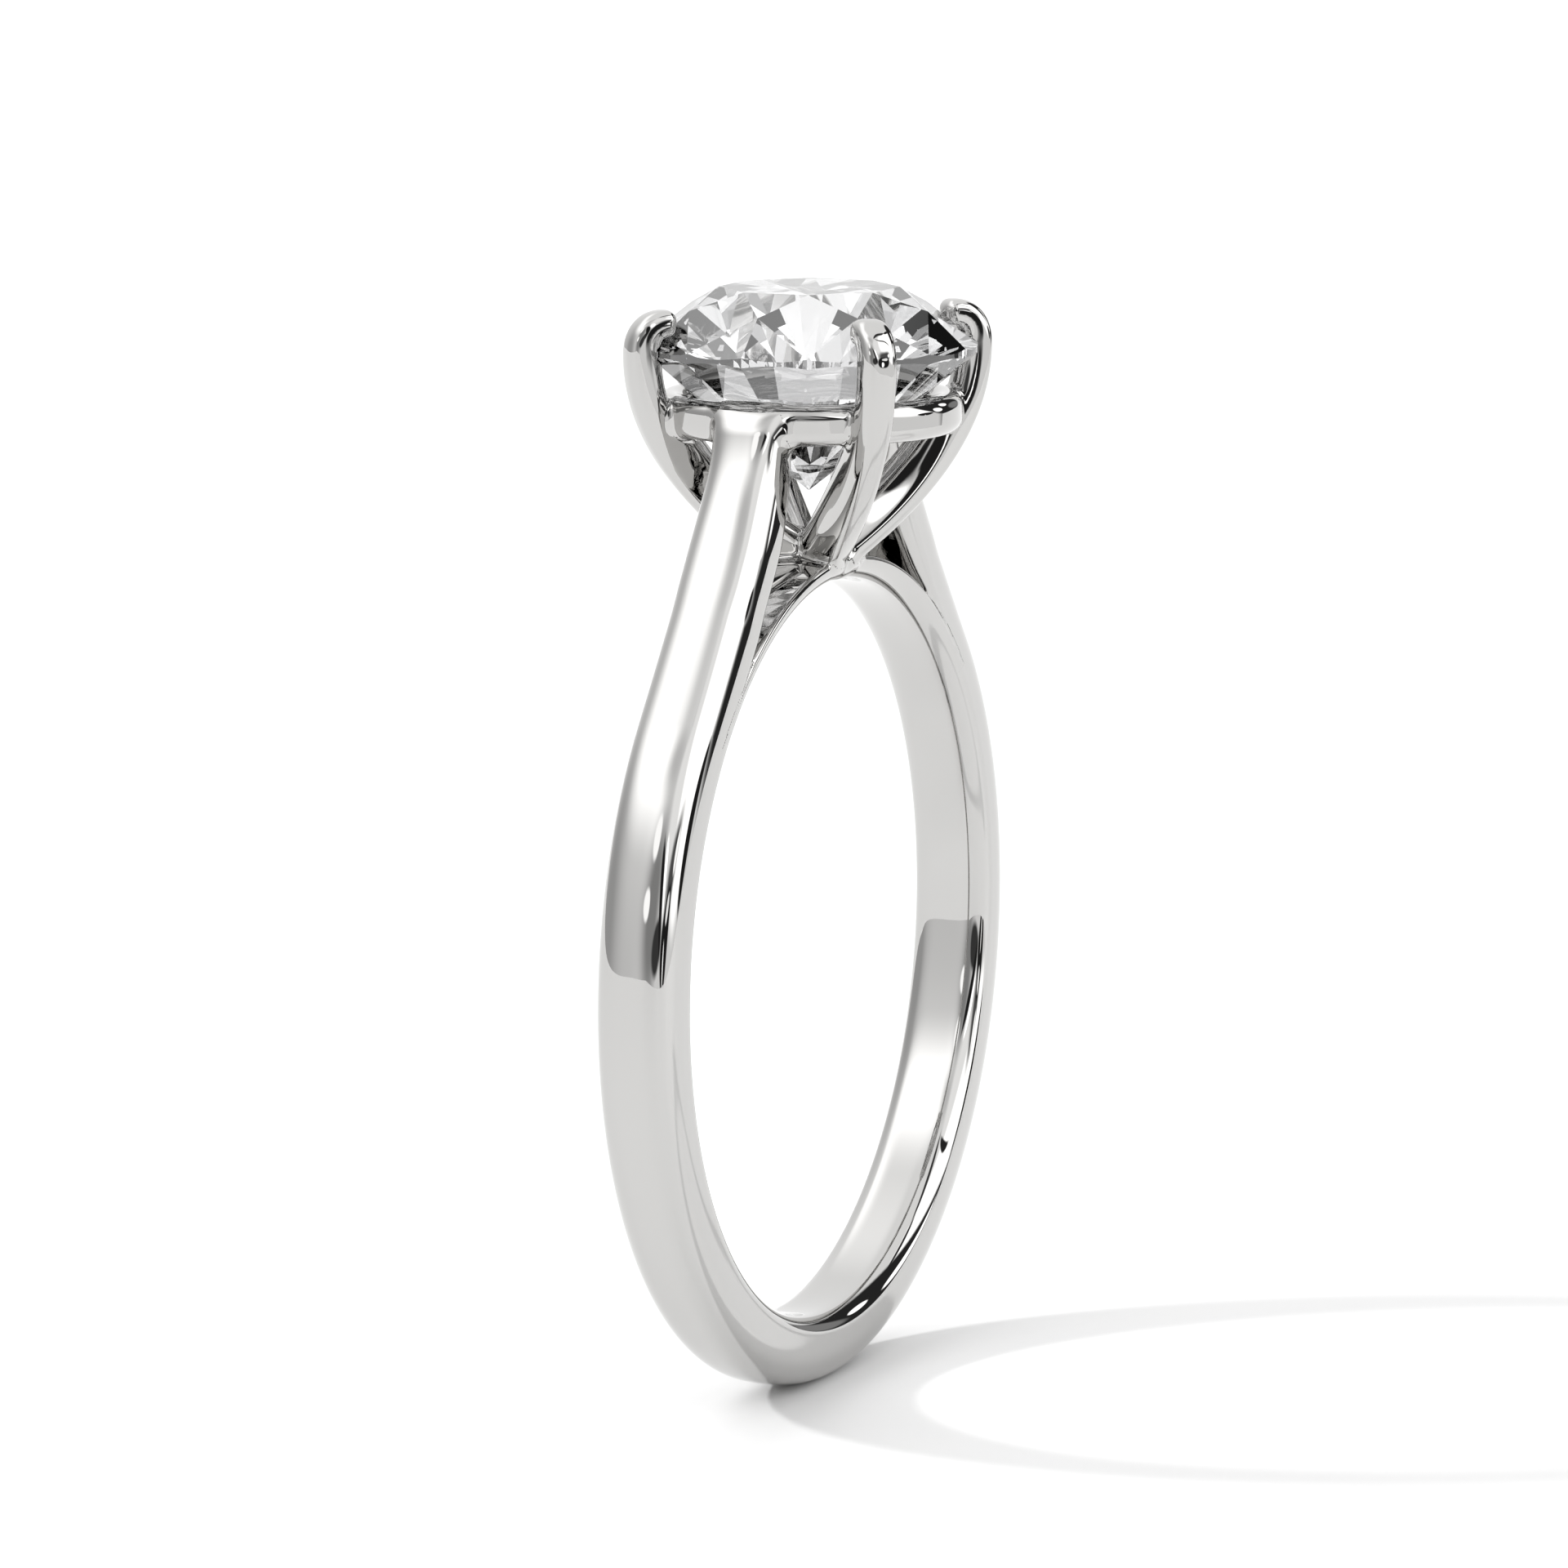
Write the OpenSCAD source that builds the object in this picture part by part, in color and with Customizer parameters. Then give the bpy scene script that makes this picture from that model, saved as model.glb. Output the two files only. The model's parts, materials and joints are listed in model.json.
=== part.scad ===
// Round solitaire engagement ring: a comfort-fit band, two cathedral shoulders that rise to a
// gallery rail, a bridge that closes the finger circle, and four claw prongs that hold the stone.
// Frame: Y runs along the finger, +Z runs up through the stone, and the origin is the centre of
// the finger hole. Every height below is measured from the finger wall unless it says otherwise.

/* [Finger] */
// Inside diameter of the ring
finger_d = 16.5; // [15.5:0.1:18]

/* [Band] */
// Width of the band along the finger
band_w = 1.88; // [1.7:0.02:2.1]
// Thickness of the band at its middle
band_t = 1.59; // [1.5:0.01:1.7]
// Depth of the soft inner edge that makes the band comfortable
comfort_h = 0.5; // [0.4:0.02:0.6]
// How square the outer edges are, where 2 is an ellipse
outer_square = 3; // [2.5:0.1:4]
// How square the inner edges are, where 2 is an ellipse
inner_square = 2.5; // [2.2:0.1:3.5]
// Width of the straight wall that touches the finger
land_w = 1; // [0.6:0.05:1.2]

/* [Bridge] */
// Thickness of the bridge under the head
bridge_t = 0.55; // [0.5:0.01:0.65]

/* [Shoulders] */
// Angle above the horizontal at which a shoulder leaves the circle of the band
leave_a = 38.6; // [36:0.2:42]
// Angle above the horizontal of the lower tip of the window under a shoulder
window_a = 56.6; // [55:0.2:58]
// Width of a shoulder where it meets the rail
shoulder_top_w = 1.68; // [1.4:0.02:1.8]
// How far a shoulder stands out from the side of the rail
shoulder_proud = 0.25; // [0.15:0.01:0.3]

/* [Gallery rail] */
// Outer diameter of the rail
rail_d = 6.8; // [6.6:0.05:7]
// Radial thickness of the rail
rail_t = 0.64; // [0.5:0.02:0.66]
// Height of the rail
rail_h = 0.88; // [0.7:0.02:0.9]
// Height of the underside of the rail
rail_up = 3.36; // [3.3:0.02:3.5]
// Rounding of the edges of the rail
rail_round = 0.3; // [0.2:0.02:0.34]

/* [Prongs] */
// Width of a prong across its outer face
prong_w = 0.8; // [0.7:0.01:0.9]
// Depth of a prong beside the stone, from its outer face to its inner face
prong_t = 0.8; // [0.72:0.01:0.88]
// Depth of a prong below the rail
prong_foot_t = 1.15; // [1:0.01:1.2]
// Distance from the stone's axis to the outer face of a prong at the girdle
prong_r = 4.34; // [4.3:0.01:4.4]
// Height at which the upright part of a prong ends and its claw begins
claw_up = 5.17; // [5.1:0.01:5.25]

/* [Stone] */
// Diameter of the stone at its girdle
stone_d = 7.46; // [7.4:0.01:7.5]
// Diameter of the table across its corners
table_d = 4; // [3.6:0.05:4.3]
// Height of the underside of the girdle
girdle_up = 5.09; // [5.05:0.01:5.15]
// Thickness of the girdle
girdle_h = 0.22; // [0.15:0.01:0.26]
// Height of the crown above the girdle
crown_h = 1.23; // [1.1:0.01:1.3]
// Depth of the pavilion below the girdle
pavilion_h = 3.08; // [3:0.01:3.2]

/* [Hidden] */
$fn = 120;

bore_r = finger_d / 2;
outer_r = bore_r + band_t;
bridge_r = bore_r + bridge_t;
edge_r = bore_r + comfort_h;          // radius of the widest part of the band
rail_r = rail_d / 2;
rail_z = bore_r + rail_up;
stone_r = stone_d / 2;
girdle_z = bore_r + girdle_up;
table_z = girdle_z + girdle_h + crown_h;
culet_z = girdle_z - pavilion_h;
section_step = 18;                    // degrees between the points of a shoulder's section
prong_step = 24;                      // degrees between the points of a prong's section
metal = [0.83, 0.82, 0.81];
diamond = [0.9, 0.95, 0.98];

// ---- curves and sections ----

function mix(a, b, t) = a + (b - a) * t;
function ease(t) = t <= 0 ? 0 : t >= 1 ? 1 : t * t * (3 - 2 * t);
function unit(v) = v / norm(v);

// A point on the cubic curve with the four control points p
function bezier(p, t) = mix(mix(mix(p[0], p[1], t), mix(p[1], p[2], t), t),
    mix(mix(p[1], p[2], t), mix(p[2], p[3], t), t), t);

// cos or sin of an angle, pushed out towards the square by the exponent n
function soft(c, n) = sign(c) * pow(abs(c), 2 / n);

// Outline of the band as [radius, y]: domed outside, rolled edges inside, and a straight land
function band_outline(step) = let(
    land_t = pow(land_w / band_w, inner_square),
    roll = comfort_h / pow(1 - land_t, 1 / inner_square))
    [for (a = [0:step:359.9]) cos(a) > 0
        ? [edge_r + (outer_r - edge_r) * soft(cos(a), outer_square),
            band_w / 2 * soft(sin(a), outer_square)]
        : [max(bore_r, edge_r + roll * soft(cos(a), inner_square)),
            band_w / 2 * soft(sin(a), inner_square)]];

// A closed solid through a list of rings that all have the same number of points
module skin(rings) {
    n = len(rings[0]);
    last = (len(rings) - 1) * n;
    sides = [for (i = [0:len(rings) - 2], j = [0:n - 1])
        [i * n + j, i * n + (j + 1) % n, (i + 1) * n + (j + 1) % n, (i + 1) * n + j]];
    polyhedron([for (r = rings) each r],
        concat([[for (j = [n - 1:-1:0]) j]], sides, [[for (j = [0:n - 1]) last + j]]));
}

// Part of the band's circle, from one angle above the horizontal to another
module arc(from, to) {
    rotate([90, 0, 0]) rotate([0, 0, from]) rotate_extrude(angle = to - from) children();
}

// ---- band and bridge ----

module shank() {
    color(metal) arc(180 - leave_a, 360 + leave_a) polygon(band_outline(9));
}

module bridge() {
    color(metal) arc(leave_a, 180 - leave_a) intersection() {
        polygon(band_outline(9));
        translate([bore_r - 1, -band_w]) square([1 + bridge_t, 2 * band_w]);
    }
}

// ---- shoulders ----

// Side view of the right shoulder as [x, z]: the outer edge runs straight off the band's circle
// and turns upright at the rail
leave_run = 4.47;                     // how strongly the outer edge keeps to its first direction
leave_p = outer_r * [cos(leave_a), sin(leave_a)];
shoulder_top = [rail_r + shoulder_proud, rail_z + rail_h - 0.25];
top_end = 0.16;                       // length of the upright end beside the rail
outer_edge = [leave_p, leave_p + leave_run * [-sin(leave_a), cos(leave_a)],
    shoulder_top + [0.42, -1.3], shoulder_top];

// The edge over the window, from the window's tip to the underside of the rail
window_lean = 40;                     // lean from the vertical at the tip
window_run = 1.7;
window_p = bridge_r * [cos(window_a), sin(window_a)];
window_top = [rail_r - rail_t - 0.16, rail_z];
window_edge = [window_p, window_p + window_run * [-sin(window_lean), cos(window_lean)],
    window_top - [0, 1.4], window_top];
foot = 0.24;                          // share of a shoulder that sits on the bridge
foot_roll = 0.02;                     // depth of the inner rounding over the bridge
window_roll = 0.45;                   // depth of the inner rounding over the window

// The inner edge follows the bridge as far as the window's tip, and then the window
function inner_edge(t) = t < foot
    ? bridge_r * [cos(mix(leave_a, window_a, t / foot)), sin(mix(leave_a, window_a, t / foot))]
    : bezier(window_edge, pow((t - foot) / (1 - foot), 0.7));

// One section of a shoulder, square where it sits on the bridge and rolled over the window
function shoulder_ring(t) = section_ring(t, bezier(outer_edge, t), inner_edge(t));

// The level section that ends a shoulder just below the top of the rail
function top_ring() = let(z = shoulder_top[1] + top_end)
    section_ring(1, [shoulder_top[0], z], [window_top[0], z]);

function section_ring(t, out, in) = let(
    w = mix(band_w, shoulder_top_w, ease((t - 0.4) / 0.5)) / 2,
    roll = mix(foot_roll, window_roll, ease((t - foot) / 0.2)),
    thick = norm(out - in),
    edge = out + (in - out) * (1 - roll / thick))
    [for (a = [0:section_step:359.9]) let(
        n = cos(a) > 0 ? outer_square : inner_square,
        p = edge + (cos(a) > 0 ? out - edge : edge - in) * soft(cos(a), n))
        [p[0], -w * soft(sin(a), n), p[1]]];

module shoulder_right() {
    color(metal) difference() {
        skin([for (t = [0:0.04:1]) shoulder_ring(t), top_ring()]);
        translate([0, 0, rail_z]) cylinder(r = rail_r, h = rail_h);
    }
}

module shoulder_left() {
    mirror([1, 0, 0]) shoulder_right();
}

// ---- gallery rail ----

// Upright section of the rail with rounded outer edges
module rail_section() {
    r = rail_round;
    square([rail_t - r, rail_h]);
    translate([0, r]) square([rail_t, rail_h - 2 * r]);
    translate([rail_t - r, r]) circle(r);
    translate([rail_t - r, rail_h - r]) circle(r);
}

module gallery_rail() {
    color(metal) translate([0, 0, rail_z]) rotate_extrude()
        translate([rail_r - rail_t, 0]) rail_section();
}

// ---- prongs ----

prong_base = [0.35, 0.62];            // plan position of a prong's foot on the bridge
guide_in = 0.3;                       // depth of a prong's guide line below its outer face
guide_r = prong_r - guide_in;
prong_head = guide_r * [cos(45), sin(45)];
foot_face = 80;                       // direction that the outer face of the foot looks in
head_face = 45;                       // direction that the outer face looks in further up
claw_z = bore_r + claw_up;
claw_t = 0.62;                        // depth of the claw near its end
claw_end = 0.25;                      // length of the claw's rounded end
prong_square = 2.8;                   // how square the section of a prong is

// Rise of a prong as [share of the way out, height], then its claw as [radius, height]
prong_rise = [[0, bore_r + 0.5], [0.58, bore_r + 1.75], [1, bore_r + 3.35], [1, claw_z]];
claw_curve = [[guide_r, claw_z], [guide_r, claw_z + 0.42], [guide_r - 0.25, claw_z + 0.71],
    [guide_r - 0.62, claw_z + 0.68]];

function rise_point(t) = let(q = bezier(prong_rise, t), p = mix(prong_base, prong_head, q[0]))
    [p[0], p[1], q[1]];
function claw_point(t) = let(q = bezier(claw_curve, t))
    [q[0] * cos(head_face), q[0] * sin(head_face), q[1]];

// Direction of travel along the rise, and along the claw
function rise_dir(t) = unit(rise_point(t + 0.02) - rise_point(t));
function claw_dir(t) = t == 0 ? [0, 0, 1] : unit(claw_point(t) - claw_point(t - 0.05));

// One section of a prong that is t deep, square to the direction d at point p of the guide line,
// looking out at the angle face, and drawn in by the factor small
function prong_ring(p, d, face, t, small = 1) = let(
    out = unit(cross([-sin(face), cos(face), 0], d)),
    side = cross(d, out))
    [for (a = [0:prong_step:359.9]) p + out * (guide_in - t / 2)
        + small * out * t / 2 * soft(cos(a), prong_square)
        + small * side * prong_w / 2 * soft(sin(a), prong_square)];

// The foot starts inside the bridge; further up, the prong turns its outer face towards its
// corner, and is less deep from the rail upwards
foot_rings = [prong_ring(rise_point(0) - rise_dir(0), rise_dir(0), foot_face, prong_foot_t)];
rise_rings = [for (t = [0:0.0625:0.99]) prong_ring(rise_point(t), rise_dir(t),
    mix(foot_face, head_face, ease(t * 1.5)), mix(prong_foot_t, prong_t, ease((t - 0.55) / 0.25)))];
claw_rings = [for (t = [0:0.125:1]) prong_ring(claw_point(t), claw_dir(t), head_face,
    mix(prong_t, claw_t, t))];
end_rings = [for (a = [30:30:60]) prong_ring(claw_point(1) + claw_dir(1) * claw_end * sin(a),
    claw_dir(1), head_face, claw_t, cos(a))];

// Room for the stone, as a round body that encloses all its facets
module stone_seat() {
    rotate_extrude() polygon([[0, culet_z], [stone_r, girdle_z], [stone_r, girdle_z + girdle_h],
        [table_d / 2, table_z], [0, table_z]]);
}

// The prong over +X and +Y, cut to fit the bridge, the rail, the stone and its neighbours
module prong() {
    color(metal) difference() {
        skin(concat(foot_rings, rise_rings, claw_rings, end_rings));
        rotate([90, 0, 0]) cylinder(r = bridge_r, h = 4, center = true);
        translate([-2, 0, bore_r]) cube([4, 8, 8], center = true);
        translate([0, -2, bore_r]) cube([8, 4, 8], center = true);
        translate([0, 0, rail_z]) rotate_extrude() translate([rail_r - rail_t, 0]) rail_section();
        stone_seat();
    }
}

module prong_back_right() {
    prong();
}

module prong_back_left() {
    mirror([1, 0, 0]) prong();
}

module prong_front_right() {
    mirror([0, 1, 0]) prong();
}

module prong_front_left() {
    mirror([1, 0, 0]) mirror([0, 1, 0]) prong();
}

// ---- stone ----

facets = 8;                           // main facets around the crown and around the pavilion
turn = 360 / facets;
star_r = 2.84;                        // radius of the outer corners of the star facets
lower_r = 0.8;                        // radius of the corners between the pavilion mains
reach = 1.04;                         // how far the facet planes run past the girdle

function polar(r, a, z) = [r * cos(a), r * sin(a), z];

// Height at [x, y] of the plane through three points
function plane_z(p, q, r, x, y) = let(n = cross(q - p, r - p))
    p[2] - (n[0] * (x - p[0]) + n[1] * (y - p[1])) / n[2];

// The corner between two main facets, which lean from their tip down or up to the girdle
function mid_corner(tip_r, tip_z, r, edge_z) = let(along = r * cos(turn / 2))
    polar(r, turn, mix(tip_z, edge_z, (along - tip_r) / (stone_r - tip_r)));

// Height that a girdle facet reaches at the angle a, just past the girdle
function past_z(mid, edge_z, a) = let(
    main = polar(stone_r, turn / 2, edge_z),
    next = polar(stone_r, turn, edge_z),
    past = polar(stone_r * reach, a, 0))
    plane_z(mid, main, next, past[0], past[1]);

crown_mid = mid_corner(table_d / 2, table_z, star_r, girdle_z + girdle_h);
pavilion_mid = mid_corner(0, culet_z, lower_r, girdle_z);

// All the facet corners of one eighth of the stone, turned to the angle a
function eighth(a) = [
    polar(table_d / 2, a + turn / 2, table_z),
    polar(star_r, a, crown_mid[2]),
    polar(lower_r, a, pavilion_mid[2]),
    for (half = [turn / 2, turn]) each [
        polar(stone_r * reach, a + half, past_z(crown_mid, girdle_z + girdle_h, half)),
        polar(stone_r * reach, a + half, past_z(pavilion_mid, girdle_z, half))]];

module center_stone() {
    corners = [[0, 0, culet_z], for (i = [0:facets - 1]) each eighth(turn * i)];
    color(diamond) intersection() {
        translate([0, 0, culet_z - 1]) cylinder(r = stone_r, h = table_z - culet_z + 2);
        hull() polyhedron(corners, [[for (i = [0:len(corners) - 1]) i]]);
    }
}

shank();
shoulder_left();
shoulder_right();
bridge();
gallery_rail();
prong_front_left();
prong_front_right();
prong_back_left();
prong_back_right();
center_stone();
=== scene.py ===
"""A solitaire engagement ring of polished white gold with a round brilliant stone.

The CAD frame gives the places and sizes. The metal is drawn here as one smooth field, so that the
band, the shoulders, the rail and the prongs run into each other with the small fillets that solder
and polishing leave, and the field's surface is then shared out between the pieces. Shapes are
worked out in millimetres, and mesh_object() turns them into metres.
"""
import json
import math

import bmesh
import bpy
import numpy as np
from mathutils import Matrix, Vector

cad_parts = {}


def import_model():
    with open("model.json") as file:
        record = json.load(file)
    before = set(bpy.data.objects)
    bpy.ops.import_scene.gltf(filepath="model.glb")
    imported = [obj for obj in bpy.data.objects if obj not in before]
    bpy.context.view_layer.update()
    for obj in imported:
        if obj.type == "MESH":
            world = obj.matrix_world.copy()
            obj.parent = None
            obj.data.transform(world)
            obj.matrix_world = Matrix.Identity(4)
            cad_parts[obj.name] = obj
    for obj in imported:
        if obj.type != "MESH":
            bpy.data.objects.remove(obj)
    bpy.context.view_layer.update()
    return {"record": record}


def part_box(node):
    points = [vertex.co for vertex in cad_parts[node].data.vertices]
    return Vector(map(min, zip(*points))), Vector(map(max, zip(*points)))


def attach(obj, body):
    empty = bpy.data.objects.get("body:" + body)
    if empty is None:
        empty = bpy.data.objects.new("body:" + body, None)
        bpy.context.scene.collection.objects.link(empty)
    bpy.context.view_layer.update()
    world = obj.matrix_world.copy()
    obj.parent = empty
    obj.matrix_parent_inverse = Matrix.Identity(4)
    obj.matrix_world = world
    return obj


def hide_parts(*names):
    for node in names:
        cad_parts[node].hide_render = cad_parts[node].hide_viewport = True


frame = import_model()

MM = 0.001


def node_box(name):
    """Lowest and highest corner of a CAD node, in millimetres."""
    low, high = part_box(name)
    return np.array(low) / MM, np.array(high) / MM


# ---- sizes, in millimetres ----

bore_r = frame["record"]["mounts"][0]["dims"]["r_mm"]
shank_low, shank_high = node_box("shank")
rail_low, rail_high = node_box("gallery_rail")
stone_low, stone_high = node_box("center_stone")

outer_r = -shank_low[2]
half_w = shank_high[1]
comfort_h = 0.5  # depth of the rolled inner edge
edge_r = bore_r + comfort_h
land_w = 1.0  # straight wall in the finger hole
outer_square, inner_square = 3.0, 2.5  # exponents of the outer and inner outlines; 2 is an ellipse
roll = comfort_h / (1 - (land_w / 2 / half_w) ** inner_square) ** (1 / inner_square)
bridge_r = node_box("bridge")[1][2]

rail_r = rail_high[0]
rail_t = 0.64
rail_round = 0.3

leave_a = math.asin(shank_high[2] / outer_r)  # where a shoulder leaves the band's circle
window_a = math.radians(56.6)  # lower tip of the window under a shoulder
window_lean = math.radians(40)
leave_run, window_run = 4.47, 1.7  # how strongly each edge keeps to its first direction
window_roll = 0.45
shoulder_proud = 0.25
shoulder_sunk = 0.02  # how far a shoulder's end lies below the top of the rail
shoulder_top_half_w = 0.84
taper_z, taper_h = 9.3, 2.3  # the height where a shoulder starts to narrow, and how far it goes on
foot_share = 0.2  # share of the window's edge over which a shoulder's inner side turns round

prong_w, prong_t, prong_foot_t, claw_t = 0.8, 0.8, 1.15, 0.62
prong_foot = np.array([0.35, 0.62])
foot_face, head_face = 80.0, 45.0  # degrees: where the outer face looks at the foot and further up
thin_from, thin_over = 0.55, 0.25  # shares of the rise where a prong loses its extra depth
guide_in = 0.3  # depth of a prong's guide line below its outer face
guide_r = 4.04
prong_square = 2.8
claw_z = bore_r + 5.17
claw_end = 0.25

stone_r = stone_high[0]
culet_z, table_z = stone_low[2], stone_high[2]
girdle_low, girdle_high = bore_r + 5.09, bore_r + 5.31
table_r = 2.0
star_r, lower_r = 2.84, 0.8  # corners between the crown mains, and between the pavilion mains
EIGHTH = math.radians(45)

# rounding of the edges, and the fillets where pieces meet
land_round, seat_round, prong_foot_round = 0.04, 0.04, 0.05
bridge_round, rail_wall_round, shoulder_end_round = 0.12, 0.1, 0.6
rail_fillet, prong_fillet, mitre_fillet, tip_fillet = 0.3, 0.2, 0.12, 0.14

TINY = 1e-9
ON_PLANE = 1e-6
SLOPE_STEP = 0.002


# ---- curves ----

def polar(radius, angle):
    """The point at a distance and an angle in radians from the origin."""
    return radius * np.array([math.cos(angle), math.sin(angle)])


def ease(t):
    """Rises smoothly from 0 to 1 while t does."""
    t = np.clip(t, 0, 1)
    return t * t * (3 - 2 * t)


def mix(a, b, t):
    return a + (b - a) * t


def unit_rows(v):
    return v / np.linalg.norm(v, axis=-1, keepdims=True)


def bezier(c, t):
    """Points on the cubic with control points c at the parameters t, with both derivatives."""
    t = t[..., None]
    s = 1 - t
    point = s**3 * c[0] + 3 * s * s * t * c[1] + 3 * s * t * t * c[2] + t**3 * c[3]
    first = 3 * (s * s * (c[1] - c[0]) + 2 * s * t * (c[2] - c[1]) + t * t * (c[3] - c[2]))
    second = 6 * (s * (c[2] - 2 * c[1] + c[0]) + t * (c[3] - 2 * c[2] + c[1]))
    return point, first, second


def nearest(c, q, seeds=24, steps=3):
    """Parameter of the cubic's point nearest to each q, from seeds sharpened by Newton's method."""
    ts = np.linspace(0, 1, seeds)
    points = bezier(c, ts)[0]
    away = (q**2).sum(-1, keepdims=True) - 2 * q @ points.T + (points**2).sum(-1)
    t = ts[away.argmin(-1)]
    for _ in range(steps):
        point, first, second = bezier(c, t)
        off = point - q
        slope = (first * first).sum(-1) + (off * second).sum(-1)
        slope = np.where(slope > 0.2, slope, (first * first).sum(-1))
        t = np.clip(t - (off * first).sum(-1) / slope, 0, 1)
    return t


def left_of(c, q):
    """Signed distance from the plane curve c, which runs on straight past its ends.

    It is positive on the curve's left. The parameters of the nearest points come with it.
    """
    t = nearest(c, q)
    point, first, _ = bezier(c, t)
    along = unit_rows(first)
    off = q - point
    return along[..., 0] * off[..., 1] - along[..., 1] * off[..., 0], t


# ---- fields: negative inside, and close to the distance near the surface ----

def smooth_min(a, b, k):
    """The lower of two fields, blended where they differ by less than k."""
    h = np.clip(0.5 + 0.5 * (b - a) / np.maximum(k, TINY), 0, 1)
    return b + (a - b) * h - k * h * (1 - h)


def smooth_max(a, b, k):
    """The higher of two fields, blended where they differ by less than k."""
    return -smooth_min(-a, -b, k)


def soft_section(u, v, a, b, n, w=0.0, c=1.0):
    """Field of a superellipse with half axes a and b, closed by a dome of height c along w."""
    ua, vb = np.abs(u) / a, np.abs(v) / b
    size = np.maximum((ua**n + vb**n) ** (1 / n), 1e-3)
    slope = ((ua / size) ** (n - 1) / a) ** 2 + ((vb / size) ** (n - 1) / b) ** 2
    wc = w / c
    whole = np.sqrt(size**2 + wc**2)
    slope = np.sqrt((size / whole) ** 2 * slope + (wc / c / whole) ** 2)
    return (whole - 1) / np.maximum(slope, 0.4)


def hoop_field(radius, y):
    """The band's own section at a distance from the finger's axis."""
    u = radius - edge_r
    out = u > 0
    section = soft_section(
        u, y, np.where(out, outer_r - edge_r, roll), half_w,
        np.where(out, outer_square, inner_square),
    )
    return smooth_max(section, bore_r - radius, land_round)


def bridge_field(p):
    """The bridge: the band's section with all but its inner part taken off."""
    radius = np.hypot(p[:, 0], p[:, 2])
    return smooth_max(hoop_field(radius, p[:, 1]), radius - bridge_r, bridge_round)


leave_p = polar(outer_r, leave_a)
leave_dir = np.array([-math.sin(leave_a), math.cos(leave_a)])
shoulder_top = np.array([rail_r + shoulder_proud, rail_high[2] - 0.25])
outer_edge = np.array(
    [leave_p, leave_p + leave_run * leave_dir, shoulder_top + [0.42, -1.3], shoulder_top]
)
window_p = polar(bridge_r, window_a)
window_dir = np.array([-math.sin(window_lean), math.cos(window_lean)])
window_top = np.array([rail_r - rail_t - 0.16, rail_low[2]])
window_edge = np.array(
    [window_p, window_p + window_run * window_dir, window_top - [0, 1.4], window_top]
)
foot_thick = left_of(outer_edge, leave_p[None])[0][0] - left_of(window_edge, leave_p[None])[0][0]
foot_roll = abs(foot_thick) - (outer_r - edge_r)


def shoulder_field(p):
    """The right shoulder: a tapering bar between its outer edge and the edge over the window."""
    side = p[:, [0, 2]]
    beyond_outer = -left_of(outer_edge, side)[0]
    beyond_inner, t = left_of(window_edge, side)
    thick = np.maximum(-beyond_outer - beyond_inner, 0.5)
    rounded = mix(foot_roll, window_roll, ease(t / foot_share))
    u = -beyond_inner - rounded
    out = u > 0
    width = mix(half_w, shoulder_top_half_w, ease((p[:, 2] - taper_z) / taper_h))
    bar = soft_section(
        u, p[:, 1], np.where(out, thick - rounded, rounded), width,
        np.where(out, outer_square, inner_square),
    )
    bar = smooth_max(bar, p[:, 2] - (rail_high[2] - shoulder_sunk), shoulder_end_round)
    inside_rail = np.maximum(np.hypot(p[:, 0], p[:, 1]) - (rail_r - rail_t), rail_low[2] - p[:, 2])
    return smooth_max(bar, -inside_rail, rail_wall_round)


def rail_field(p):
    """The gallery rail: an upright section with rounded edges, turned about the stone's axis."""
    middle = (rail_low[2] + rail_high[2]) / 2
    a = np.abs(np.hypot(p[:, 0], p[:, 1]) - (rail_r - rail_t / 2)) - (rail_t / 2 - rail_round)
    b = np.abs(p[:, 2] - middle) - ((rail_high[2] - rail_low[2]) / 2 - rail_round)
    outside = np.hypot(np.maximum(a, 0), np.maximum(b, 0))
    return outside + np.minimum(np.maximum(a, b), 0) - rail_round


prong_head = polar(guide_r, math.radians(head_face))


def rise_control(share, up):
    return [*mix(prong_foot, prong_head, share), up]


def claw_control(radius, up):
    return [*polar(radius, math.radians(head_face)), up]


rise = np.array([
    rise_control(0, bore_r + 0.5),
    rise_control(0.58, bore_r + 1.75),
    rise_control(1, bore_r + 3.35),
    rise_control(1, claw_z),
])
claw = np.array([
    claw_control(guide_r, claw_z),
    claw_control(guide_r, claw_z + 0.42),
    claw_control(guide_r - 0.25, claw_z + 0.71),
    claw_control(guide_r - 0.62, claw_z + 0.68),
])


def stone_field(p):
    """A round body that encloses the stone: its girdle, crown and pavilion as cones."""
    radius, z = np.hypot(p[:, 0], p[:, 1]), p[:, 2]
    crown = math.atan2(table_z - girdle_high, stone_r - table_r)
    pavilion = math.atan2(girdle_low - culet_z, stone_r)
    above = (radius - stone_r) * math.sin(crown) + (z - girdle_high) * math.cos(crown)
    below = (radius - stone_r) * math.sin(pavilion) + (girdle_low - z) * math.cos(pavilion)
    return np.maximum(np.maximum(above, below), radius - stone_r)


def swept(c, q, face, depth, end=False):
    """Field of a prong's section swept along its guide line c, looking out at the angle face(t)."""
    t = nearest(c, q)
    point, first, _ = bezier(c, t)
    along = unit_rows(first)
    turned = face(t)
    across = np.stack([-np.sin(turned), np.cos(turned), 0 * t], -1)
    out = unit_rows(np.cross(across, along))
    side = np.cross(along, out)
    off = q - point
    past = np.maximum((off * along).sum(-1), 0) if end else 0.0
    thick = depth(t)
    field = soft_section(
        (off * out).sum(-1) - guide_in + thick / 2, (off * side).sum(-1), thick / 2, prong_w / 2,
        prong_square, past, claw_end,
    )
    return field, (off**2).sum(-1)


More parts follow.
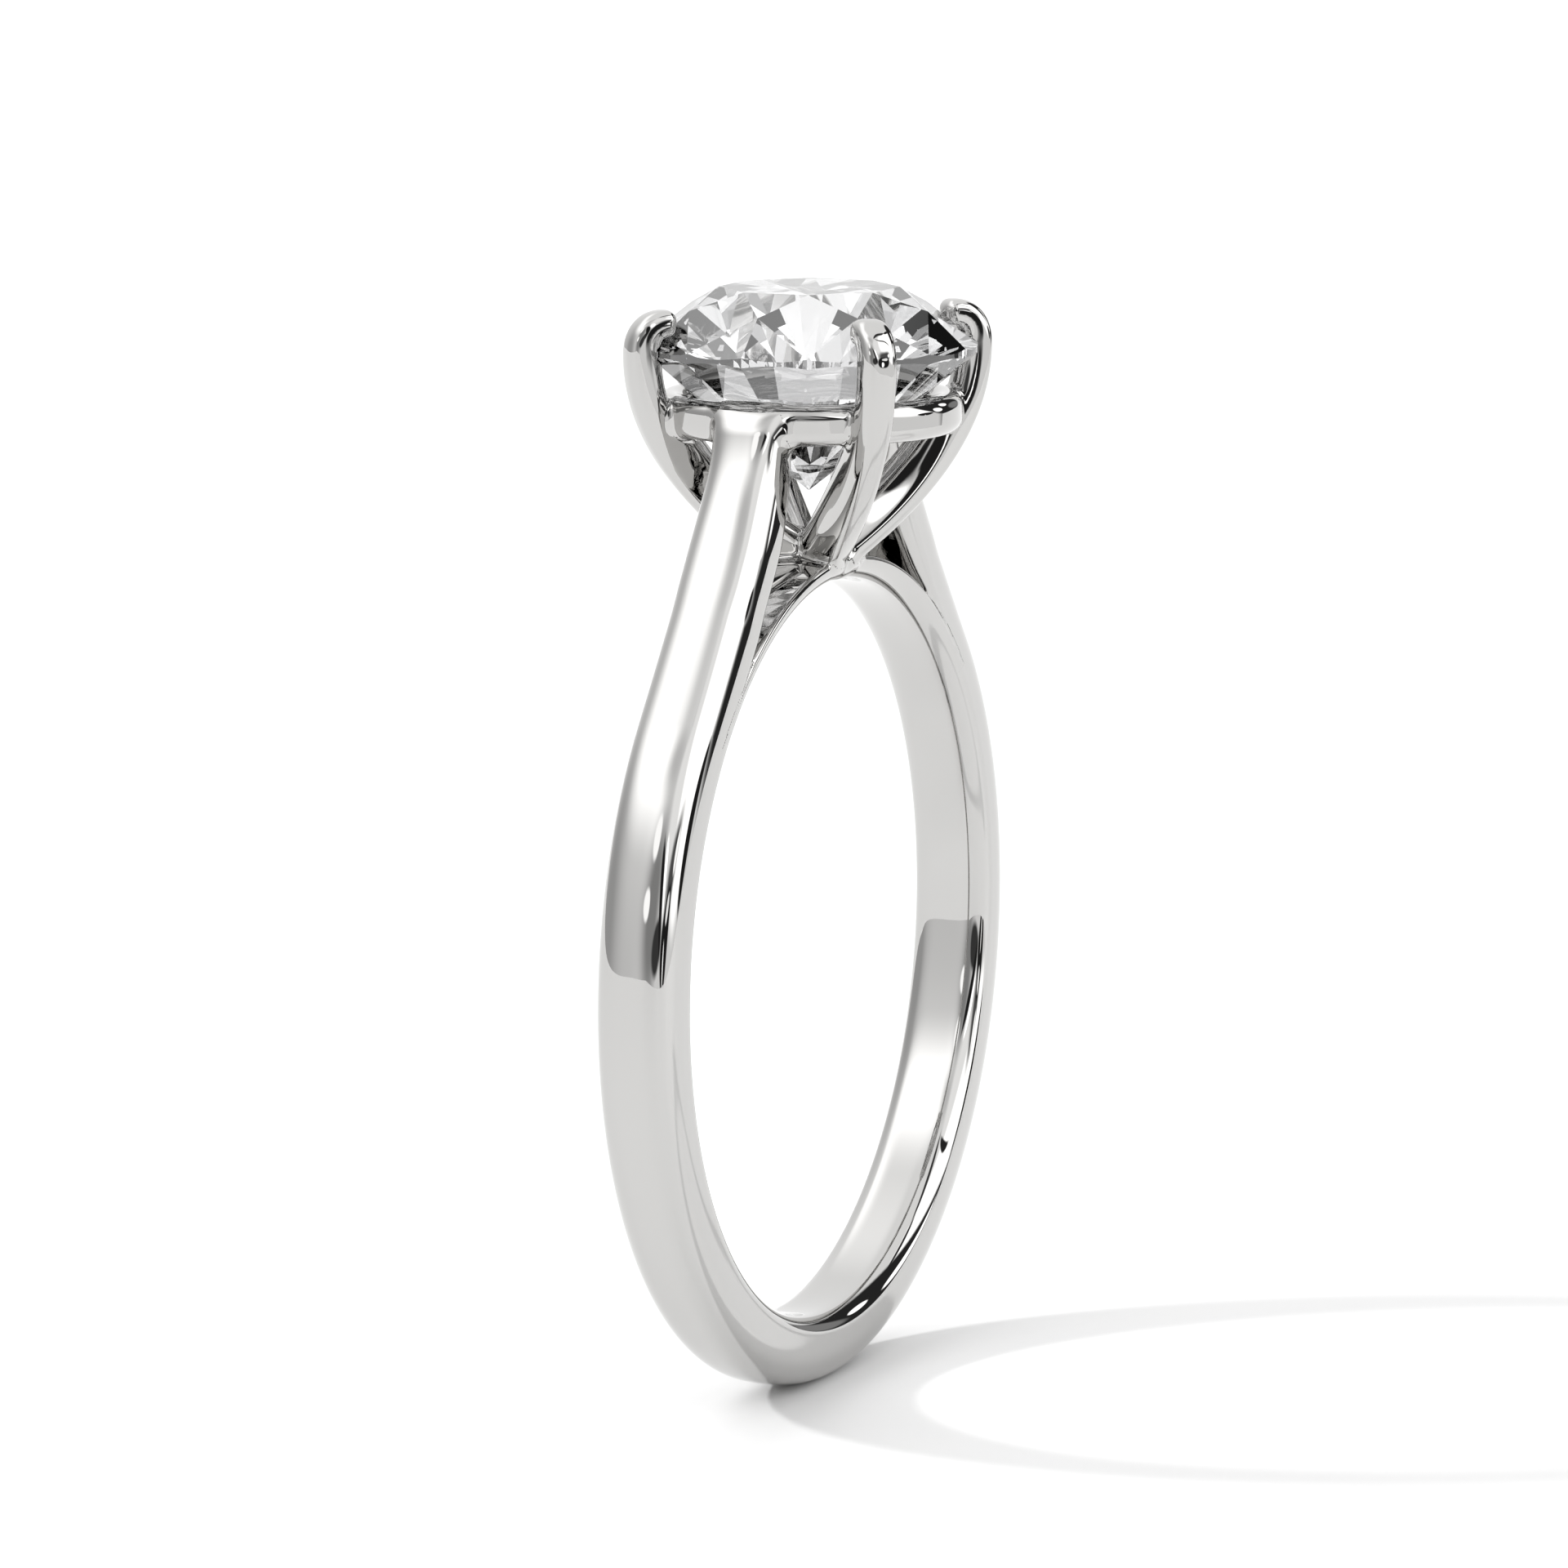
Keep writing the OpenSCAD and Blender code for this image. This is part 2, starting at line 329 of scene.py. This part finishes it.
def prong_field(p):
    """The prong over +X and +Y, with the seat for the stone cut in its claw."""
    lower, lower_away = swept(
        rise, p,
        lambda t: np.radians(mix(foot_face, head_face, ease(t * 1.5))),
        lambda t: mix(prong_foot_t, prong_t, ease((t - thin_from) / thin_over)),
    )
    upper, upper_away = swept(
        claw, p, lambda t: 0 * t + math.radians(head_face), lambda t: mix(prong_t, claw_t, t),
        end=True,
    )
    bar = np.where(lower_away <= upper_away, lower, upper)
    bar = smooth_max(bar, bore_r + 0.15 - np.hypot(p[:, 0], p[:, 2]), prong_foot_round)
    return smooth_max(bar, -stone_field(p), seat_round)


PIECES = ("bridge", "shoulder", "rail", "prong")


def folded(p):
    """Points of the quarter over +X and +Y that stand for any points, by the ring's symmetry."""
    return np.abs(p * [1, 1, 0]) + p * [0, 0, 1]


def fields(p):
    """The field of each metal piece, in the order of PIECES."""
    p = folded(p)
    return bridge_field(p), shoulder_field(p), rail_field(p), prong_field(p)


def metal_field(p):
    """All the metal above the shank, with the fillets between its pieces."""
    p = folded(p)
    bridge, shoulder, rail, prong = fields(p)
    for axis, reach in ((0, 1.6), (1, 1.2)):  # the prongs across each middle plane, where near
        flip = np.ones(3)
        flip[axis] = -1
        neighbour = np.full(len(p), 9.0)
        close = p[:, axis] < reach
        neighbour[close] = prong_field(p[close] * flip)
        prong = smooth_min(prong, neighbour, mitre_fillet)
    angle = np.degrees(np.arctan2(p[:, 2], p[:, 0]))
    tip = tip_fillet * ease((angle - 50) / 6)  # grows between 50 and 56 degrees up the band
    frame_part = smooth_min(bridge, shoulder, tip)
    frame_part = smooth_min(frame_part, rail, rail_fillet)
    return smooth_min(frame_part, prong, prong_fillet)


def gradient(field, p, step=SLOPE_STEP):
    """Slope of a field at the points p, by differences."""
    columns = []
    for axis in range(3):
        shift = np.zeros(3)
        shift[axis] = step
        columns.append((field(p + shift) - field(p - shift)) / (2 * step))
    return np.stack(columns, -1)


def onto_surface(field, p, reach, steps=2):
    """Moves points onto the field's zero surface, at most reach at a time."""
    for _ in range(steps):
        g = gradient(field, p)
        move = field(p)[:, None] * g / np.maximum((g * g).sum(-1, keepdims=True), 0.05)
        far = np.linalg.norm(move, axis=-1, keepdims=True)
        p = p - move * np.minimum(1, reach / np.maximum(far, TINY))
    return p


# ---- the field's surface as a mesh ----

def sampled(field, low, high, cell, coarse=4, near=0.45):
    """A grid and the field's values on it, which are worked out finely only near the surface."""
    counts = np.ceil((high - low) / (cell * coarse)).astype(int)
    rough_axes = [low[i] + cell * coarse * np.arange(counts[i] + 1) for i in range(3)]
    rough = field(np.stack(np.meshgrid(*rough_axes, indexing="ij"), -1).reshape(-1, 3))
    rough = rough.reshape(counts + 1)
    axes = [low[i] + cell * np.arange(counts[i] * coarse + 1) for i in range(3)]
    index = np.ix_(*[np.round(np.arange(len(a)) / coarse).astype(int) for a in axes])
    values = rough[index]
    grid = np.stack(np.meshgrid(*axes, indexing="ij"), -1)
    close = np.abs(values) < near
    values[close] = field(grid[close])
    return grid, values


def surface_net(grid, values):
    """Vertices and quads of the zero surface: one vertex in each cell that the surface crosses."""
    inside = values < 0
    corner = [np.array(c) for c in np.ndindex(2, 2, 2)]
    size = np.array(values.shape) - 1

    def at(array, c):
        return array[c[0]:c[0] + size[0], c[1]:c[1] + size[1], c[2]:c[2] + size[2]]

    count = sum(at(inside, c).astype(int) for c in corner)
    cells = np.argwhere((count > 0) & (count < 8))
    total, crossings = np.zeros((len(cells), 3)), np.zeros(len(cells))
    for a in corner:
        for b in corner:
            if (b - a).sum() != 1 or (b - a).min() < 0:
                continue
            first, second = tuple((cells + a).T), tuple((cells + b).T)
            va, vb = values[first], values[second]
            crossed = (va < 0) != (vb < 0)
            t = np.where(crossed, va / np.where(crossed, va - vb, 1), 0)[:, None]
            total += crossed[:, None] * mix(grid[first], grid[second], t)
            crossings += crossed
    number = np.full(size, -1)
    number[tuple(cells.T)] = np.arange(len(cells))
    quads = []
    for axis in range(3):
        u, v = (axis + 1) % 3, (axis + 2) % 3
        step = np.eye(3, dtype=int)
        low_end = [slice(None)] * 3
        high_end = [slice(None)] * 3
        low_end[axis], high_end[axis] = slice(0, -1), slice(1, None)
        starts, ends = inside[tuple(low_end)], inside[tuple(high_end)]
        edges = np.argwhere(starts != ends)
        edges = edges[(edges[:, u] > 0) & (edges[:, v] > 0)]
        edges = edges[(edges[:, u] < size[u]) & (edges[:, v] < size[v])]
        ring = [edges - step[u] - step[v], edges - step[v], edges, edges - step[u]]
        ring = np.stack([number[tuple(r.T)] for r in ring], -1)
        leaving = starts[tuple(edges.T)]
        quads.append(np.where(leaving[:, None], ring, ring[:, ::-1]))
    return total / crossings[:, None], np.concatenate(quads)


def mirrored(points, normals, faces, axis):
    """Adds the mirror image across a plane through the origin, joined along that plane."""
    on_plane = np.abs(points[:, axis]) < ON_PLANE
    points = points.copy()
    points[on_plane, axis] = 0
    flip = np.ones(3)
    flip[axis] = -1
    fresh = np.where(on_plane, -1, np.cumsum(~on_plane) - 1 + len(points))
    twin = np.where(on_plane, np.arange(len(points)), fresh)
    other = [[twin[i] for i in reversed(face)] for face in faces]
    return (
        np.concatenate([points, points[~on_plane] * flip]),
        np.concatenate([normals, normals[~on_plane] * flip]),
        [*faces, *other],
    )


def mesh_object(name, points, faces, normals, material):
    """A mesh object from millimetres, closed over any open edge, and smooth if it has normals."""
    mesh = bpy.data.meshes.new(name)
    mesh.from_pydata((np.asarray(points) * MM).tolist(), [], [list(map(int, f)) for f in faces])
    surface = len(mesh.polygons)
    bm = bmesh.new()
    bm.from_mesh(mesh)
    open_edges = [e for e in bm.edges if e.is_boundary]
    bmesh.ops.holes_fill(bm, edges=open_edges, sides=0)
    bm.faces.ensure_lookup_table()
    for face in bm.faces[surface:]:
        face.smooth = False
    bm.to_mesh(mesh)
    bm.free()
    if normals is not None:
        smooth = np.arange(len(mesh.polygons)) < surface
        mesh.polygons.foreach_set("use_smooth", smooth)
        corner = np.zeros(len(mesh.loops), int)
        mesh.loops.foreach_get("vertex_index", corner)
        corners = np.zeros(len(mesh.polygons), int)
        mesh.polygons.foreach_get("loop_total", corners)
        flat = np.zeros(len(mesh.polygons) * 3)
        mesh.polygons.foreach_get("normal", flat)
        owner = np.repeat(np.arange(len(mesh.polygons)), corners)
        per_corner = np.where(
            smooth[owner][:, None], normals[corner], flat.reshape(-1, 3)[owner]
        )
        mesh.normals_split_custom_set(per_corner.tolist())
    return link(name, mesh, material)


def link(name, mesh, material):
    """An object in the scene for a mesh in one material."""
    mesh.materials.append(material)
    made = bpy.data.objects.new(name, mesh)
    bpy.context.scene.collection.objects.link(made)
    return made


def piece(name, node, slot, material, points, faces, normals=None):
    """A visible piece that stands for one CAD node."""
    made = mesh_object(name, points, faces, normals, material)
    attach(made, "root")
    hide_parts(node)


# ---- materials ----

def principled(name, color, **values):
    """A material with one Principled shader, whose sockets are named with _ for spaces."""
    material = bpy.data.materials.new(name)
    material.use_nodes = True
    shader = material.node_tree.nodes["Principled BSDF"]
    shader.inputs["Base Color"].default_value = (*color, 1)
    for key, value in values.items():
        shader.inputs[key.replace("_", " ")].default_value = value
    material.diffuse_color = (*color, 1)
    return material


def white_gold():
    """Mirror-polished white gold: even colour, and the faint haze and ripple of hand polishing."""
    material = principled("white_gold", (0.54, 0.535, 0.526), Metallic=1.0)
    tree = material.node_tree
    shader = tree.nodes["Principled BSDF"]
    place = tree.nodes.new("ShaderNodeTexCoord").outputs["Object"]

    def noise(scale, detail):
        made = tree.nodes.new("ShaderNodeTexNoise")
        made.inputs["Scale"].default_value = scale
        made.inputs["Detail"].default_value = detail
        tree.links.new(place, made.inputs["Vector"])
        return made.outputs["Fac"]

    haze, ripple = noise(900, 6), noise(500, 2)
    spread = tree.nodes.new("ShaderNodeMapRange")
    spread.inputs["To Min"].default_value = 0.01
    spread.inputs["To Max"].default_value = 0.03
    bump = tree.nodes.new("ShaderNodeBump")
    bump.inputs["Strength"].default_value = 0.015
    bump.inputs["Distance"].default_value = 0.05 * MM
    tree.links.new(haze, spread.inputs["Value"])
    tree.links.new(spread.outputs["Result"], shader.inputs["Roughness"])
    tree.links.new(ripple, bump.inputs["Height"])
    tree.links.new(bump.outputs["Normal"], shader.inputs["Normal"])
    return material


def diamond():
    """Colourless stone with flat polished facets."""
    return principled(
        "diamond", (0.82, 0.82, 0.825), Roughness=0.0, IOR=2.417, Transmission_Weight=1.0
    )


# ---- pieces ----

def band_section():
    """Points evenly spaced round the band's outline as [radius, y], and the normals there."""
    rough = np.radians(np.arange(0, 360, 0.5))
    out = np.cos(rough) > 0
    power = 2 / np.where(out, outer_square, inner_square)
    radius = edge_r + np.where(out, outer_r - edge_r, roll) * np.sign(np.cos(rough)) * np.abs(
        np.cos(rough)
    ) ** power
    y = half_w * np.sign(np.sin(rough)) * np.abs(np.sin(rough)) ** power
    radius = np.maximum(radius, bore_r)
    length = np.concatenate([[0], np.cumsum(np.hypot(np.diff(radius), np.diff(y)))])
    even = np.linspace(0, length[-1], 96, endpoint=False)
    section = np.stack([np.interp(even, length, radius), np.interp(even, length, y)], -1)

    def in_plane(q):
        return hoop_field(q[:, 0], q[:, 1])

    def slope(q, step=SLOPE_STEP):
        return np.stack([
            (in_plane(q + [step, 0]) - in_plane(q - [step, 0])) / (2 * step),
            (in_plane(q + [0, step]) - in_plane(q - [0, step])) / (2 * step),
        ], -1)

    for _ in range(4):
        g = slope(section)
        section = section - in_plane(section)[:, None] * g / (g * g).sum(-1, keepdims=True)
    return section, unit_rows(slope(section))


def shank_shape():
    """The band's section swept under the finger, from shoulder to shoulder."""
    section, g = band_section()
    turns = np.linspace(math.pi - leave_a, 2 * math.pi + leave_a, 181)
    ca, sa = np.cos(turns)[:, None], np.sin(turns)[:, None]
    points = np.stack([section[:, 0] * ca, section[:, 1] + 0 * ca, section[:, 0] * sa], -1)
    normals = np.stack([g[:, 0] * ca, g[:, 1] + 0 * ca, g[:, 0] * sa], -1)
    n = len(section)
    faces = [
        [i * n + j, i * n + (j + 1) % n, (i + 1) * n + (j + 1) % n, (i + 1) * n + j]
        for i in range(len(turns) - 1) for j in range(n)
    ]
    return points.reshape(-1, 3), faces, normals.reshape(-1, 3)


def cut_at_shank(points, faces):
    """Keeps what is above the plane where the shank ends."""
    bm = bmesh.new()
    verts = [bm.verts.new(p) for p in points]
    for face in faces:
        bm.faces.new([verts[i] for i in face])
    plane = (-math.sin(leave_a), 0, math.cos(leave_a))
    bmesh.ops.bisect_plane(
        bm, geom=[*bm.verts, *bm.edges, *bm.faces], dist=1e-7, plane_co=(0, 0, 0), plane_no=plane,
        clear_inner=True,
    )
    bm.verts.index_update()
    points = np.array([v.co[:] for v in bm.verts])
    faces = [[v.index for v in f.verts] for f in bm.faces]
    bm.free()
    return points, faces


def head_shapes():
    """The quarter of the metal over +X and +Y above the shank, shared out between its pieces."""
    cell = 0.05
    low = np.array([-cell / 2, -cell / 2, leave_p[1] - 1.2])
    high = np.array([leave_p[0] + 0.2, guide_r, table_z + 0.1])
    grid, values = sampled(metal_field, low, high, cell)
    points, faces = surface_net(grid, values)
    on_x, on_y = np.abs(points[:, 0]) < ON_PLANE, np.abs(points[:, 1]) < ON_PLANE
    points = onto_surface(metal_field, points, cell / 2)
    points[on_x, 0] = 0
    points[on_y, 1] = 0
    points, faces = cut_at_shank(points, faces)
    normals = unit_rows(gradient(metal_field, points))
    middle = np.array([points[f].mean(0) for f in faces])
    owner = np.argmin(np.stack(fields(middle)), 0)
    radius = np.hypot(middle[:, 0], middle[:, 2])
    owner[(radius < bridge_r) & (owner == PIECES.index("shoulder"))] = PIECES.index("bridge")
    shapes = {}
    for k, name in enumerate(PIECES):
        mine = [faces[i] for i in np.flatnonzero(owner == k)]
        used = np.unique(np.concatenate([np.asarray(f) for f in mine]))
        number = np.full(len(points), -1)
        number[used] = np.arange(len(used))
        shapes[name] = points[used], normals[used], [[number[i] for i in f] for f in mine]
    return shapes


def facet_planes():
    """The table, and the planes of one eighth of the crown and pavilion, as three points each."""

    def corner(radius, angle, z):
        return Vector((*polar(radius, angle), z))

    def between(tip_r, tip_z, radius, edge_z):
        along = radius * math.cos(EIGHTH / 2)
        return corner(radius, 0, mix(tip_z, edge_z, (along - tip_r) / (stone_r - tip_r)))

    crown_mid = between(table_r, table_z, star_r, girdle_high)
    pavilion_mid = between(0, culet_z, lower_r, girdle_low)
    before, after = -EIGHTH / 2, EIGHTH / 2
    table = [Vector((0, 0, table_z)), Vector((1, 0, table_z)), Vector((0, 1, table_z))]
    girdle = []
    for edge in (before, after):
        for mid, z in ((crown_mid, girdle_high), (pavilion_mid, girdle_low)):
            girdle.append([mid, corner(stone_r, edge, z), corner(stone_r, 0, z)])
    star = [crown_mid, corner(table_r, before, table_z), corner(table_r, after, table_z)]
    crown_main = [crown_mid, corner(stone_r, after, girdle_high), corner(table_r, after, table_z)]
    pavilion_main = [pavilion_mid, corner(stone_r, after, girdle_low), Vector((0, 0, culet_z))]
    return [table, *girdle, star, crown_main, pavilion_main]


def cut_facet(bm, points, middle):
    """Cuts off what lies beyond the plane through three points, and closes the cut."""
    a, b, c = points
    normal = (b - a).cross(c - a).normalized()
    if normal.dot(middle - a) > 0:
        normal = -normal
    made = bmesh.ops.bisect_plane(
        bm, geom=[*bm.verts, *bm.edges, *bm.faces], dist=1e-6, plane_co=a, plane_no=normal,
        clear_outer=True,
    )
    edges = [e for e in made["geom_cut"] if isinstance(e, bmesh.types.BMEdge) and e.is_boundary]
    if edges:
        bmesh.ops.edgeloop_fill(bm, edges=edges)


def stone_shape():
    """A round brilliant: a drum cut by the planes of its table, crown and pavilion facets."""
    middle = Vector((0, 0, (girdle_low + girdle_high) / 2))
    bm = bmesh.new()
    bmesh.ops.create_cone(
        bm, cap_ends=True, segments=128, radius1=stone_r, radius2=stone_r, depth=8,
        matrix=Matrix.Translation(middle),
    )
    planes = facet_planes()
    for i in range(8):
        spin = Matrix.Rotation(EIGHTH * i, 3, "Z")
        for plane in planes:
            cut_facet(bm, [spin @ point for point in plane], middle)
    bm.verts.index_update()
    bmesh.ops.recalc_face_normals(bm, faces=bm.faces[:])
    points = np.array([v.co[:] for v in bm.verts])
    faces = [[v.index for v in f.verts] for f in bm.faces]
    bm.free()
    return points, faces


# the CAD nodes that each shape of the quarter gives, with the signs that X and Y are turned by
NODES = {
    "bridge": {"bridge": (1, 1)},
    "shoulder": {"shoulder_right": (1, 1), "shoulder_left": (-1, 1)},
    "rail": {"gallery_rail": (1, 1)},
    "prong": {
        "prong_back_right": (1, 1), "prong_back_left": (-1, 1),
        "prong_front_right": (1, -1), "prong_front_left": (-1, -1),
    },
}
FOLDS = {"bridge": "xy", "shoulder": "y", "rail": "xy", "prong": ""}  # planes each one runs across


def head(material):
    """The metal pieces above the shank, each mirrored out of its part of the quarter."""
    shapes = head_shapes()
    for name in PIECES:
        shape = shapes[name]
        for axis in FOLDS[name]:
            shape = mirrored(*shape, "xy".index(axis))
        points, normals, faces = shape
        for node, (sx, sy) in NODES[name].items():
            flip = np.array([sx, sy, 1])
            turned = [f[::-1] for f in faces] if sx * sy < 0 else faces
            piece(node + "_metal", node, "white_gold", material, points * flip, turned,
                  normals * flip)


def ring():
    """Every piece of the ring."""
    gold = white_gold()
    piece("band", "shank", "white_gold", gold, *shank_shape())
    head(gold)
    piece("brilliant", "center_stone", "diamond", diamond(), *stone_shape())


# ---- floor, light and camera ----

def floor():
    """A plain pale sheet under the ring. Its near edge stays close, so that the dark lower part of
    the studio shows in the sides of the prongs."""
    near, far, z = -0.12, 2.0, shank_low[2] * MM
    mesh = bpy.data.meshes.new("floor")
    mesh.from_pydata([(-far, near, z), (far, near, z), (far, far, z), (-far, far, z)],
                     [], [(0, 1, 2, 3)])
    made = link("floor", mesh, principled("pale_floor", (0.8, 0.8, 0.8), Roughness=0.6))


def direction(azimuth, elevation):
    """The unit vector at an azimuth and an elevation in degrees."""
    az, el = math.radians(azimuth), math.radians(elevation)
    return Vector((math.cos(el) * math.cos(az), math.cos(el) * math.sin(az), math.sin(el)))


def patch(tree, look, place, at, size, level, tilt=0.0, soft=0.35):
    """Lays one soft-edged oval of the studio over the look so far.

    It lies at an azimuth and elevation, and has half a width and half a height, all in degrees.
    """
    az, el = (math.radians(angle) for angle in at)
    wide, high = (math.radians(angle) for angle in size)
    shape = tree.nodes.new("ShaderNodeMapping")
    shape.vector_type = "TEXTURE"
    shape.inputs["Location"].default_value = direction(*at)
    shape.inputs["Rotation"].default_value = (math.radians(tilt), -el, az)
    shape.inputs["Scale"].default_value = (2, wide, high)
    oval = tree.nodes.new("ShaderNodeTexGradient")
    oval.gradient_type = "SPHERICAL"
    edge = tree.nodes.new("ShaderNodeMapRange")
    edge.interpolation_type = "SMOOTHSTEP"
    edge.inputs["From Max"].default_value = soft
    over = tree.nodes.new("ShaderNodeMix")
    over.data_type = "RGBA"
    under, top = [socket for socket in over.inputs if socket.type == "RGBA"]
    top.default_value = (level, level, level, 1)
    tree.links.new(place, shape.inputs["Vector"])
    tree.links.new(shape.outputs["Vector"], oval.inputs["Vector"])
    tree.links.new(oval.outputs["Fac"], edge.inputs["Value"])
    tree.links.new(edge.outputs["Result"], over.inputs["Factor"])
    tree.links.new(look, under)
    return next(socket for socket in over.outputs if socket.type == "RGBA")


def left_side(lay):
    """The big soft box high on the left, over a dimmer wall."""
    lay((105, 2), (66, 46), 0.5, soft=0.8)
    lay((140, 50), (46, 24), 2.4, soft=1.0)
    lay((85, 56), (40, 15), 1.9, soft=0.7)


def above_camera(lay):
    """The ceiling over the camera, darker to the left and lighter to the right."""
    lay((-170, 55), (30, 14), 0.85, soft=0.9)
    lay((-115, 40), (30, 22), 1.35)


def right_side(lay):
    """The big soft box on the right, and the dark gaps along its frame."""
    lay((-72, 30), (36, 33), 2.2, soft=0.15)
    lay((-95, 65), (20, 4), 0.06)
    lay((-47, 53), (14, 4), 0.05, tilt=-40)
    lay((-97, 46), (23, 2), 0.03, tilt=-48)


def behind_right(lay):
    """A dark screen behind the box, with two lit gaps in it."""
    lay((-28, 20), (28, 30), 0.03, soft=0.15)
    lay((-42, 10), (6, 10), 2.4, soft=0.2)
    lay((-25, 22), (5, 7), 2.2, tilt=-40, soft=0.2)
    lay((-15, 8), (12, 10), 0.3)
    lay((-59, 1), (10, 6), 0.02, soft=0.2)


def under_right_box(lay):
    """The dark stand of the box, with small lamps before it."""
    lay((-106, 14), (20, 13), 0.12, soft=0.6)
    lay((-112, 3), (16, 10), 0.02, soft=0.15)
    lay((-97, 14), (6, 4), 1.8)
    lay((-109, 8), (6, 3), 1.4)
    lay((-113.5, -1), (1.6, 5), 2.2, soft=0.3)


def around_camera(lay):
    """The dim side of the room that the camera stands in, with its dark beam and its lamps."""
    lay((-170, 16), (32, 36), 0.35, soft=0.7)
    lay((-145, 6), (20, 8), 0.06)
    lay((-142, 18), (24, 5), 0.02, tilt=-51)
    lay((-134, 21), (15, 4), 2.4, tilt=-55)
    lay((177, 35), (9, 7), 1.8)
    lay((173, 18), (8, 5), 1.8)


def studio_look(tree):
    """The colour of the studio in each direction: a pale sky with the studio's ovals over it."""
    where = tree.nodes.new("ShaderNodeTexCoord").outputs["Generated"]
    parts = tree.nodes.new("ShaderNodeSeparateXYZ")
    sky = tree.nodes.new("ShaderNodeMapRange")
    sky.inputs["To Min"].default_value = 1.05
    sky.inputs["To Max"].default_value = 1.2
    tree.links.new(where, parts.inputs["Vector"])
    tree.links.new(parts.outputs["Z"], sky.inputs["Value"])
    look = sky.outputs["Result"]

    def lay(*at, **more):
        nonlocal look
        look = patch(tree, look, where, *at, **more)

    for side in (left_side, above_camera, right_side, behind_right, under_right_box, around_camera):
        side(lay)
    return look


def world():
    """The studio that the ring mirrors. The camera itself sees plain white behind the ring, and
    light that comes through the stone sees the studio paler."""
    pale_share = 0.4
    made = bpy.data.worlds.new("studio")
    bpy.context.scene.world = made
    made.use_nodes = True
    tree = made.node_tree
    studio = tree.nodes["Background"]
    plain = tree.nodes.new("ShaderNodeBackground")
    plain.inputs["Color"].default_value = (1, 1, 1, 1)
    ray = tree.nodes.new("ShaderNodeLightPath")
    share = tree.nodes.new("ShaderNodeMath")
    share.operation = "MULTIPLY_ADD"
    share.inputs[1].default_value = pale_share
    either = tree.nodes.new("ShaderNodeMixShader")
    tree.links.new(studio_look(tree), studio.inputs["Color"])
    tree.links.new(ray.outputs["Is Transmission Ray"], share.inputs[0])
    tree.links.new(ray.outputs["Is Camera Ray"], share.inputs[2])
    tree.links.new(share.outputs["Value"], either.inputs["Fac"])
    tree.links.new(studio.outputs["Background"], either.inputs[1])
    tree.links.new(plain.outputs["Background"], either.inputs[2])
    tree.links.new(either.outputs["Shader"], tree.nodes["World Output"].inputs["Surface"])


def aim(made, back):
    """Turns a light or camera so that it looks against the direction back, and adds it."""
    made.rotation_euler = back.to_track_quat("Z", "Y").to_euler()
    bpy.context.scene.collection.objects.link(made)


def sun():
    """Soft parallel light for the ring's shadow, which the metal doesn't mirror."""
    data = bpy.data.lights.new("key", "SUN")
    data.energy = 1.9
    data.angle = math.radians(5)
    made = bpy.data.objects.new("key", data)
    made.visible_glossy = False
    aim(made, direction(109, 34))


def camera():
    """A long lens that looks at the ring from low on its near side."""
    data = bpy.data.cameras.new("camera")
    data.lens, data.sensor_width = 175.28, 36
    data.clip_start, data.clip_end = 0.01, 10
    made = bpy.data.objects.new("camera", data)
    target, away = Vector((-0.219, 0.507, 3.662)), 170.29
    back = direction(-156.64, 9.249)
    made.location = (target + back * away) * MM
    aim(made, back)
    bpy.context.scene.camera = made


ring()
floor()
world()
sun()
camera()
bpy.context.scene.view_settings.view_transform = "Standard"
